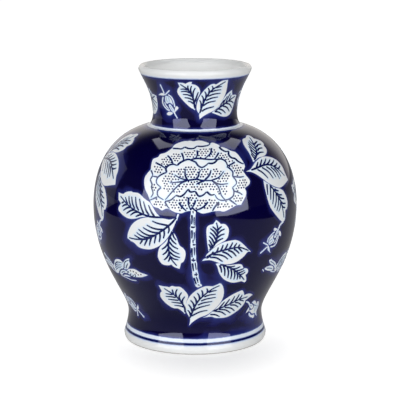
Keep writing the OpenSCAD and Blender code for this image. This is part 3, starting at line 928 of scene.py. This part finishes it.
def cobalt():
    """The deep blue ground, which thins to paler blue beside the white."""
    shader = Shader("cobalt_glaze")
    breadth = shader.spread(shader.noise(42, 2), 0.38, 0.62, 2.5, 0.58)
    waver = shader.waver(5, 4, -0.2, 0.3)
    near = shader.maths("MULTIPLY_ADD", shader.attribute("edge_distance"), breadth, waver)
    clouds = shader.noise(34, 5, (1, 1, 0.5))
    deep = shader.mix(clouds, (0.0008, 0.0002, 0.018), (0.0018, 0.0006, 0.034))
    glow = shader.ramp(
        shader.spread(near, 0.0, 7.0),
        (0.0, (0.065, 0.10, 0.33)),
        (0.09, (0.019, 0.028, 0.15)),
        (0.25, (0.012, 0.015, 0.11)),
        (0.6, (0.007, 0.007, 0.070)),
        (1.0, (0.0012, 0.0008, 0.025)),
    )
    colour = shader.mix(shader.spread(near, 3.5, 7.0), glow, deep)
    return shader.glazed(colour, 0.6, 0.03, 0.07, Specular_Tint=(0.77, 0.79, 1.0))


def white(name, plain, tinted, blue, reach):
    """White glaze, tinted blue within reach millimetres of the cobalt."""
    shader = Shader(name)
    near = shader.maths("ADD", shader.attribute("edge_distance"), shader.waver(4, 4, -0.2, 0.2))
    clouds = shader.spread(shader.noise(18, 5), 0.35, 0.65)
    body = shader.mix(clouds, plain, tuple(c * 0.96 for c in plain))
    speck = shader.spread(shader.noise(1.4, 2), 0.74, 0.80)
    body = shader.mix(shader.maths("MULTIPLY", speck, 0.35), body, (0.42, 0.36, 0.28))
    edge = shader.ramp(shader.spread(near, 0.0, reach), (0.0, blue), (0.45, tinted), (1.0, plain))
    return shader.glazed(shader.mix(shader.spread(near, 0.5 * reach, 1.4 * reach), edge, body), 0.3)


def motif_white():
    """The white of the painting: ivory where it is open, bluish beside the ink and at its edge."""
    shader = Shader("motif_white_glaze")
    waver = shader.waver(3, 4, -0.35, 0.35)
    edge = shader.maths("ADD", shader.attribute("edge_distance"), waver)
    ink = shader.maths("ADD", shader.attribute("ink_distance"), waver)
    ivory = shader.mix(shader.noise(12, 4), (0.825, 0.835, 0.82), (0.79, 0.80, 0.79))
    inner = shader.mix(shader.spread(ink, 0.3, tint_reach), (0.61, 0.755, 0.885), ivory)
    return shader.glazed(shader.mix(shader.spread(edge, -0.2, 0.35), (0.66, 0.76, 0.90), inner), 0.35)


def ink():
    """The dark blue of the strokes and dots, paler where the brush was lighter."""
    shader = Shader("ink_blue")
    tone = shader.maths("ADD", shader.attribute("tone"), shader.waver(3, 4, -0.18, 0.1))
    colour = shader.ramp(
        tone,
        (0.0, (0.30, 0.38, 0.58)),
        (0.45, (0.10, 0.14, 0.33)),
        (0.8, (0.012, 0.020, 0.11)),
        (1.0, (0.004, 0.007, 0.060)),
    )
    return shader.glazed(colour, 0.35)


def clay(name, light, dark, grain):
    """Bare fired clay, speckled and matt."""
    shader = Shader(name)
    tone = shader.mix(shader.noise(7, 5), light, dark)
    speck = shader.spread(shader.noise(0.9, 2), 0.66, 0.74)
    colour = shader.mix(shader.maths("MULTIPLY", speck, 0.5), tone, (0.13, 0.09, 0.06))
    return shader.finish(colour, shader.waver(2, 4, 0.72, 0.92), shader.noise(grain, 5), 0.12)


def floor_paper():
    """Pale matt paper, seen by the camera mostly as a glow that runs out to white away from the vase; the
    glow is weaker near the foot and most in front of it, a painted shadow.

    What it throws back on the vase, and how it is mirrored there, are set apart from how it looks. On the
    table it also glows onto the vase, a painted bounce light that stands in for the front light it doesn't
    take. Beside the table it throws back hardly anything.
    """
    table_half_w, table_back = 0.65, 0.3
    shader = Shader("pale_floor")
    rays = shader.new("LightPath").outputs
    seen, mirrored = rays["Is Camera Ray"], rays["Is Glossy Ray"]
    # The centre of the painted shadow: about 8 mm right of the axis and 35 mm in front of it, stretched
    # across.
    round_painted_shadow = shader.mapped(shift=(-0.009, 0.035, 0), scale=(1.14, 1, 1))
    away = shader.new("VectorMath", round_painted_shadow, operation="LENGTH").outputs["Value"]
    x, y, _ = shader.new("SeparateXYZ", shader.coordinates).outputs
    aside = shader.maths("GREATER_THAN", shader.maths("ABSOLUTE", x), table_half_w)
    off_table = shader.maths("MULTIPLY", aside, shader.maths("LESS_THAN", y, table_back))
    on_table = shader.maths("SUBTRACT", 1.0, off_table)

    grain = shader.noise(400, 3)
    bounced = shader.mix(grain, (0.74, 0.74, 0.73), (0.78, 0.78, 0.77))
    bounced = shader.mix(on_table, (0.05, 0.05, 0.05), bounced)
    looks = shader.mix(grain, (0.545, 0.545, 0.545), (0.555, 0.555, 0.555))

    # Painted shadow: the glow the camera sees dips around that centre, so the floor greys beside and in
    # front of the foot as if shaded by the vase.
    painted_shadow_lift = shader.spread(away, 0.04, 0.095, 0.724, 0.953)
    lift = shader.maths("ADD", painted_shadow_lift, shader.spread(away, 0.12, 0.8, 0.0, 0.06))
    # Painted bounce light: for rays from the vase the table glows, more for diffuse light than in
    # reflections.
    glow = shader.maths("MULTIPLY", on_table, shader.spread(mirrored, 0, 1, 0.37, 0.15))
    strength = shader.maths("MULTIPLY_ADD", shader.maths("SUBTRACT", lift, glow), seen, glow)
    return shader.finish(
        shader.mix(seen, bounced, looks), 0.9, shader.noise(2, 2), 0.02,
        Specular_IOR_Level=0.0, Emission_Color=(1.0, 1.0, 1.0), Emission_Strength=strength,
    )


cobalt_glaze = cobalt()
white_glaze = white("white_glaze", (0.81, 0.81, 0.785), (0.71, 0.75, 0.80), (0.34, 0.42, 0.66), 2.2)
pale_glaze = white("pale_glaze", (0.76, 0.81, 0.87), (0.62, 0.69, 0.81), (0.16, 0.22, 0.50), 0.9)
crease_glaze = white("crease_glaze", (0.76, 0.81, 0.87), (0.62, 0.69, 0.81), (0.02, 0.03, 0.17), 0.9)
line_glaze = white("line_glaze", (0.004, 0.007, 0.075), (0.006, 0.010, 0.10), (0.07, 0.11, 0.32), 0.45)
motif_glaze = motif_white()
ink_blue = ink()
clay_body = clay("stoneware_clay", (0.44, 0.425, 0.40), (0.37, 0.355, 0.335), 0.8)
clay_slip = clay("joint_slip", (0.46, 0.37, 0.27), (0.38, 0.30, 0.21), 0.4)

# -------------------- the painting
rng = np.random.default_rng(7)
motif_loops, painted = [], []
for motif_name, (drawing, chart, *chosen) in MOTIFS.items():
    copies = chosen[0] if chosen else range(repeats)
    loops = [chart.moved(closed_path(text, edge_step)) for text in drawing["grounds"]]
    for width, paths in drawing.get("ribbons", []):
        for text in paths.split(";"):
            loops.append(chart.moved(ribbon(spline(parsed(text)[0], edge_step), width)))
    motif_loops.append((chart, loops, copies))
    strokes = []
    for width, tone, paths in drawing["strokes"]:
        for text in paths.split(";"):
            points, corners = parsed(text)
            ends = [i for i in range(1, len(points) - 1) if corners[i]]
            for a, b in zip([0] + ends, ends + [len(points) - 1], strict=True):
                strokes.append((chart.moved(spline(points[a : b + 1], stroke_step)), width, tone))
    lines = [line for line, _, _ in strokes]
    ground, marks = Layer(), Layer()
    for loop in loops:
        low, high = loop.min(0) - tint_reach, loop.max(0) + tint_reach
        near = [line for line in lines if (line.max(0) > low).all() and (line.min(0) < high).all()]
        lay_ground(ground, loop, near)
    for line, width, tone in strokes:
        lay_stroke(marks, line, width, tone * rng.uniform(*ink_tones))
    for text in drawing.get("dots", []):
        for centre in dots_in(closed_path(text, region_step), lines, rng):
            lay_dot(marks, centre, rng.uniform(*dot_r), rng.uniform(*ink_tones))
    if "spots" in drawing:
        for centre in parsed(drawing["spots"])[0]:
            lay_dot(marks, centre, spot_r, 1.0)
    for copy in copies:
        white_name = f"{motif_name}_white_{copy + 1}"
        painted.append(ground.build(white_name, chart, motif_glaze, "white_glaze", copy))
        marks.build(f"{motif_name}_ink_{copy + 1}", chart, ink_blue, "blue_glaze", copy)

# -------------------- the coats of glaze
column_angles = np.arange(columns) * 2 * math.pi / columns
foot_from, foot_to = arc_at(bare_top), arc_at(foot_band_top)
line_to = arc_at(blue_line_top)
body_from, body_to = arc_at(stripe_top), arc_at(crease_low)
neck_from, neck_to = arc_at(crease_high), arc_at(lip_start)
lip_end = along[-1]


def distance_to_paint(s, reach=8.0):
    """How far each point of the ground at arc lengths s, for every column, lies outside the motifs."""
    best = np.full(len(s) * columns, far_off)
    grid_s, grid_angle = np.repeat(s, columns), np.tile(column_angles, len(s))
    for chart, loops, copies in motif_loops:
        for copy in copies:
            sheet = chart.sheet(grid_angle, grid_s, copy)
            for loop in loops:
                low, high = loop.min(0) - reach, loop.max(0) + reach
                near = ((sheet > low) & (sheet < high)).all(1)
                if near.any():
                    away = gap(sheet[near], loop, True)
                    away[inside(sheet[near], loop)] *= -1
                    best[near] = np.minimum(best[near], away)
    return best.reshape(len(s), columns)


def from_white(low, high, low_share, high_share):
    """A cobalt ground's distance to the motifs and to the white beyond its two edges."""

    def distance(s):
        bands = np.minimum((s - low) * low_share, (high - s) * high_share)
        return np.minimum(distance_to_paint(s), bands[:, None])

    return distance


def from_blue(low=-far_off, high=math.inf):
    """A pale band's distance to the blue beyond its lower and its upper edge."""
    return lambda s: np.minimum(s - low, high - s)


coat("body_ground", body_from, body_to, cobalt_glaze,
     from_white(body_from, body_to, 1.3, 1.2), ["body_glaze"])
coat("neck_ground", neck_from, neck_to, cobalt_glaze,
     from_white(neck_from, neck_to, 1.8, 1.6), ["neck_glaze"])
coat("foot_band", foot_from, foot_to, white_glaze,
     from_blue(high=foot_to), ["foot_glaze"], 0.6, band_columns)
coat("foot_line", foot_to, line_to, line_glaze,
     from_blue(foot_to, line_to), ["foot_line_glaze"], 0.4, band_columns)
coat("foot_stripe", line_to, body_from, pale_glaze,
     from_blue(line_to, body_from), ["foot_stripe_glaze"], 0.4, band_columns)
coat("crease_line", body_to, neck_from, crease_glaze,
     from_blue(body_to + crease_creep, neck_from + crease_past), ["crease_line_glaze"], 0.3, band_columns)
coat("lip", neck_to, lip_end, white_glaze,
     from_blue(low=neck_to), ["lip_glaze"], 0.5, band_columns)


def hollow(depth, level, rim_r):
    """The half section of the hollow, from the middle of the floor up to the mouth."""
    s = np.arange(0, along[-1], hollow_step)
    wall = section(s, depth)
    above, below = wall[:, 1] > level + floor_corner_r, wall[:, 1] < lip_z - mouth_bevel_h
    wall = wall[above & below & (s < neck_to)]
    centre = (wall[0][0] - floor_corner_r, level + floor_corner_r)
    corner = quarter(centre, floor_corner_r, floor_corner_r, -90, 12)
    return np.concatenate([[[0, level], [centre[0] / 2, level]], corner, wall[1:], [[rim_r, lip_z]]])


def lining(name, half, node):
    """White glaze inside or underneath, away from any blue."""
    away = np.full(len(half), far_off)
    return turned(name, half, white_glaze, away, [node], band_columns)


inner = hollow(wall_t, floor_low + glaze_t, mouth_r)
outer = hollow(wall_t - glaze_t, floor_low, mouth_r + glaze_t)
linings = [lining("lining", np.concatenate([outer, inner[::-1]]), "lining_glaze")]

skin_r, skin_z = recess_r - glaze_t, recess_top - glaze_t
recess_half = [(0, skin_z), (skin_r - recess_bevel, skin_z), (skin_r, skin_z - recess_bevel)]
recess_half += [(skin_r, recess_low), (recess_r, recess_low), (recess_r, recess_top), (0, recess_top)]
linings.append(lining("recess_glaze", recess_half, "base_glaze"))

# The clay and the slip keep their own meshes.
for node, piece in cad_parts.items():
    if not piece.hide_render:
        piece.data.materials.clear()
        piece.data.materials.append(clay_slip if node.endswith("slip_joint") else clay_body)

# -------------------- the stage, in metres
floor_half = 6.0
floor_gap = 0.0002
mesh = bpy.data.meshes.new("floor")
square = [(x * floor_half, y * floor_half, 0) for x, y in ((-1, -1), (1, -1), (1, 1), (-1, 1))]
mesh.from_pydata(square, [], [(0, 1, 2, 3)])
floor = bpy.data.objects.new("floor", mesh)
floor.location.z = cad_low.z - floor_gap
mesh.materials.append(floor_paper())
bpy.context.scene.collection.objects.link(floor)
floor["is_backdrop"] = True


def softbox(name, centre, target, width, tall, radiance, colour=(1, 1, 1), roll=0.0):
    """A soft rectangular light that faces target and isn't seen itself."""
    lamp = bpy.data.lights.new(name, "AREA")
    lamp.shape = "RECTANGLE"
    lamp.size, lamp.size_y = width, tall
    lamp.energy = radiance * math.pi * width * tall
    lamp.color = colour
    box = bpy.data.objects.new(name, lamp)
    box.location = centre
    aim = (Vector(target) - Vector(centre)).to_track_quat("-Z", "Y")
    box.rotation_euler = (aim @ Quaternion((0, 0, 1), math.radians(roll))).to_euler()
    box.visible_camera = False
    bpy.context.scene.collection.objects.link(box)
    return box


# The floor takes its light from above and behind only, so that its shadow falls forward.
front_x, front_y, front_z = 0.90, -1.12, 0.54
front_tilt = 7
cool = (0.97, 0.99, 1.04)
unlit = bpy.data.collections.new("not_lit_from_the_front")
unlit.objects.link(floor)
unlit.collection_objects[0].light_linking.link_state = "EXCLUDE"
for name, side, width in (("left_softbox", -1, 1.15), ("right_softbox", 1, 1.05)):
    place = (side * front_x, front_y, front_z)
    box = softbox(name, place, (0, 0, 0.16), width, 1.08, 4.2, cool, side * front_tilt)
    box.light_linking.receiver_collection = unlit
softbox("top_softbox", (0.035, 0.535, 1.22), (0.035, 0.535, 0), 1.11, 0.65, 1.95)
softbox("left_card", (-1.25, 0.70, 0.42), (0, 0, 0.2), 1.05, 0.95, 0.35)

# Fills from above lift the painting and the lining only, and leave no reflection in the cobalt.
for name, pieces, radiance in (("painting_fill", painted, 0.25), ("lining_fill", linings, 0.75)):
    box = softbox(name, (0, -0.45, 1.30), (0, 0, 0.1), 1.4, 1.1, radiance)
    box.light_linking.receiver_collection = bpy.data.collections.new(f"lit_by_{name}")
    for piece in pieces:
        box.light_linking.receiver_collection.objects.link(piece)

# The surround is white to look at. In reflections it is dark in front, pale behind, and dims upward.
world = bpy.data.worlds.new("studio")
world.use_nodes = True
bpy.context.scene.world = world
sky = Nodes(world.node_tree)
_, y, z = sky.new("SeparateXYZ", sky.new("TexCoord").outputs["Generated"]).outputs
dark, grey, pale = (0.04, 0.04, 0.04), (0.40, 0.378, 0.372), (0.95, 0.91, 0.87)
backdrop = sky.ramp(y, (0.50, dark), (0.72, grey), (0.86, pale))
dimmed = sky.new("VectorMath", backdrop, operation="SCALE")
sky.put(dimmed.inputs["Scale"], sky.spread(z, 0.35, 0.65, 1.0, 0.12))
shown = sky.mix(sky.new("LightPath").outputs["Is Camera Ray"], dimmed.outputs[0], (1.0, 1.0, 1.0))
sky.put(world.node_tree.nodes["Background"].inputs["Color"], shown)

camera_data = bpy.data.cameras.new("camera")
camera = bpy.data.objects.new("camera", camera_data)
bpy.context.scene.collection.objects.link(camera)
bpy.context.scene.camera = camera
camera_drop = math.radians(11.77)
camera.location = (0, -1.309, 0.394)
camera.rotation_euler = (math.pi / 2 - camera_drop, 0, 0)
camera_data.sensor_width, camera_data.lens, camera_data.shift_x = 36, 138.15, 0.0125
camera_data.clip_start, camera_data.clip_end = 0.05, 50
bpy.context.scene.view_settings.view_transform = "Standard"

# -------------------- hand in
# -------------------- the bounds of what is shown
low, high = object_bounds()
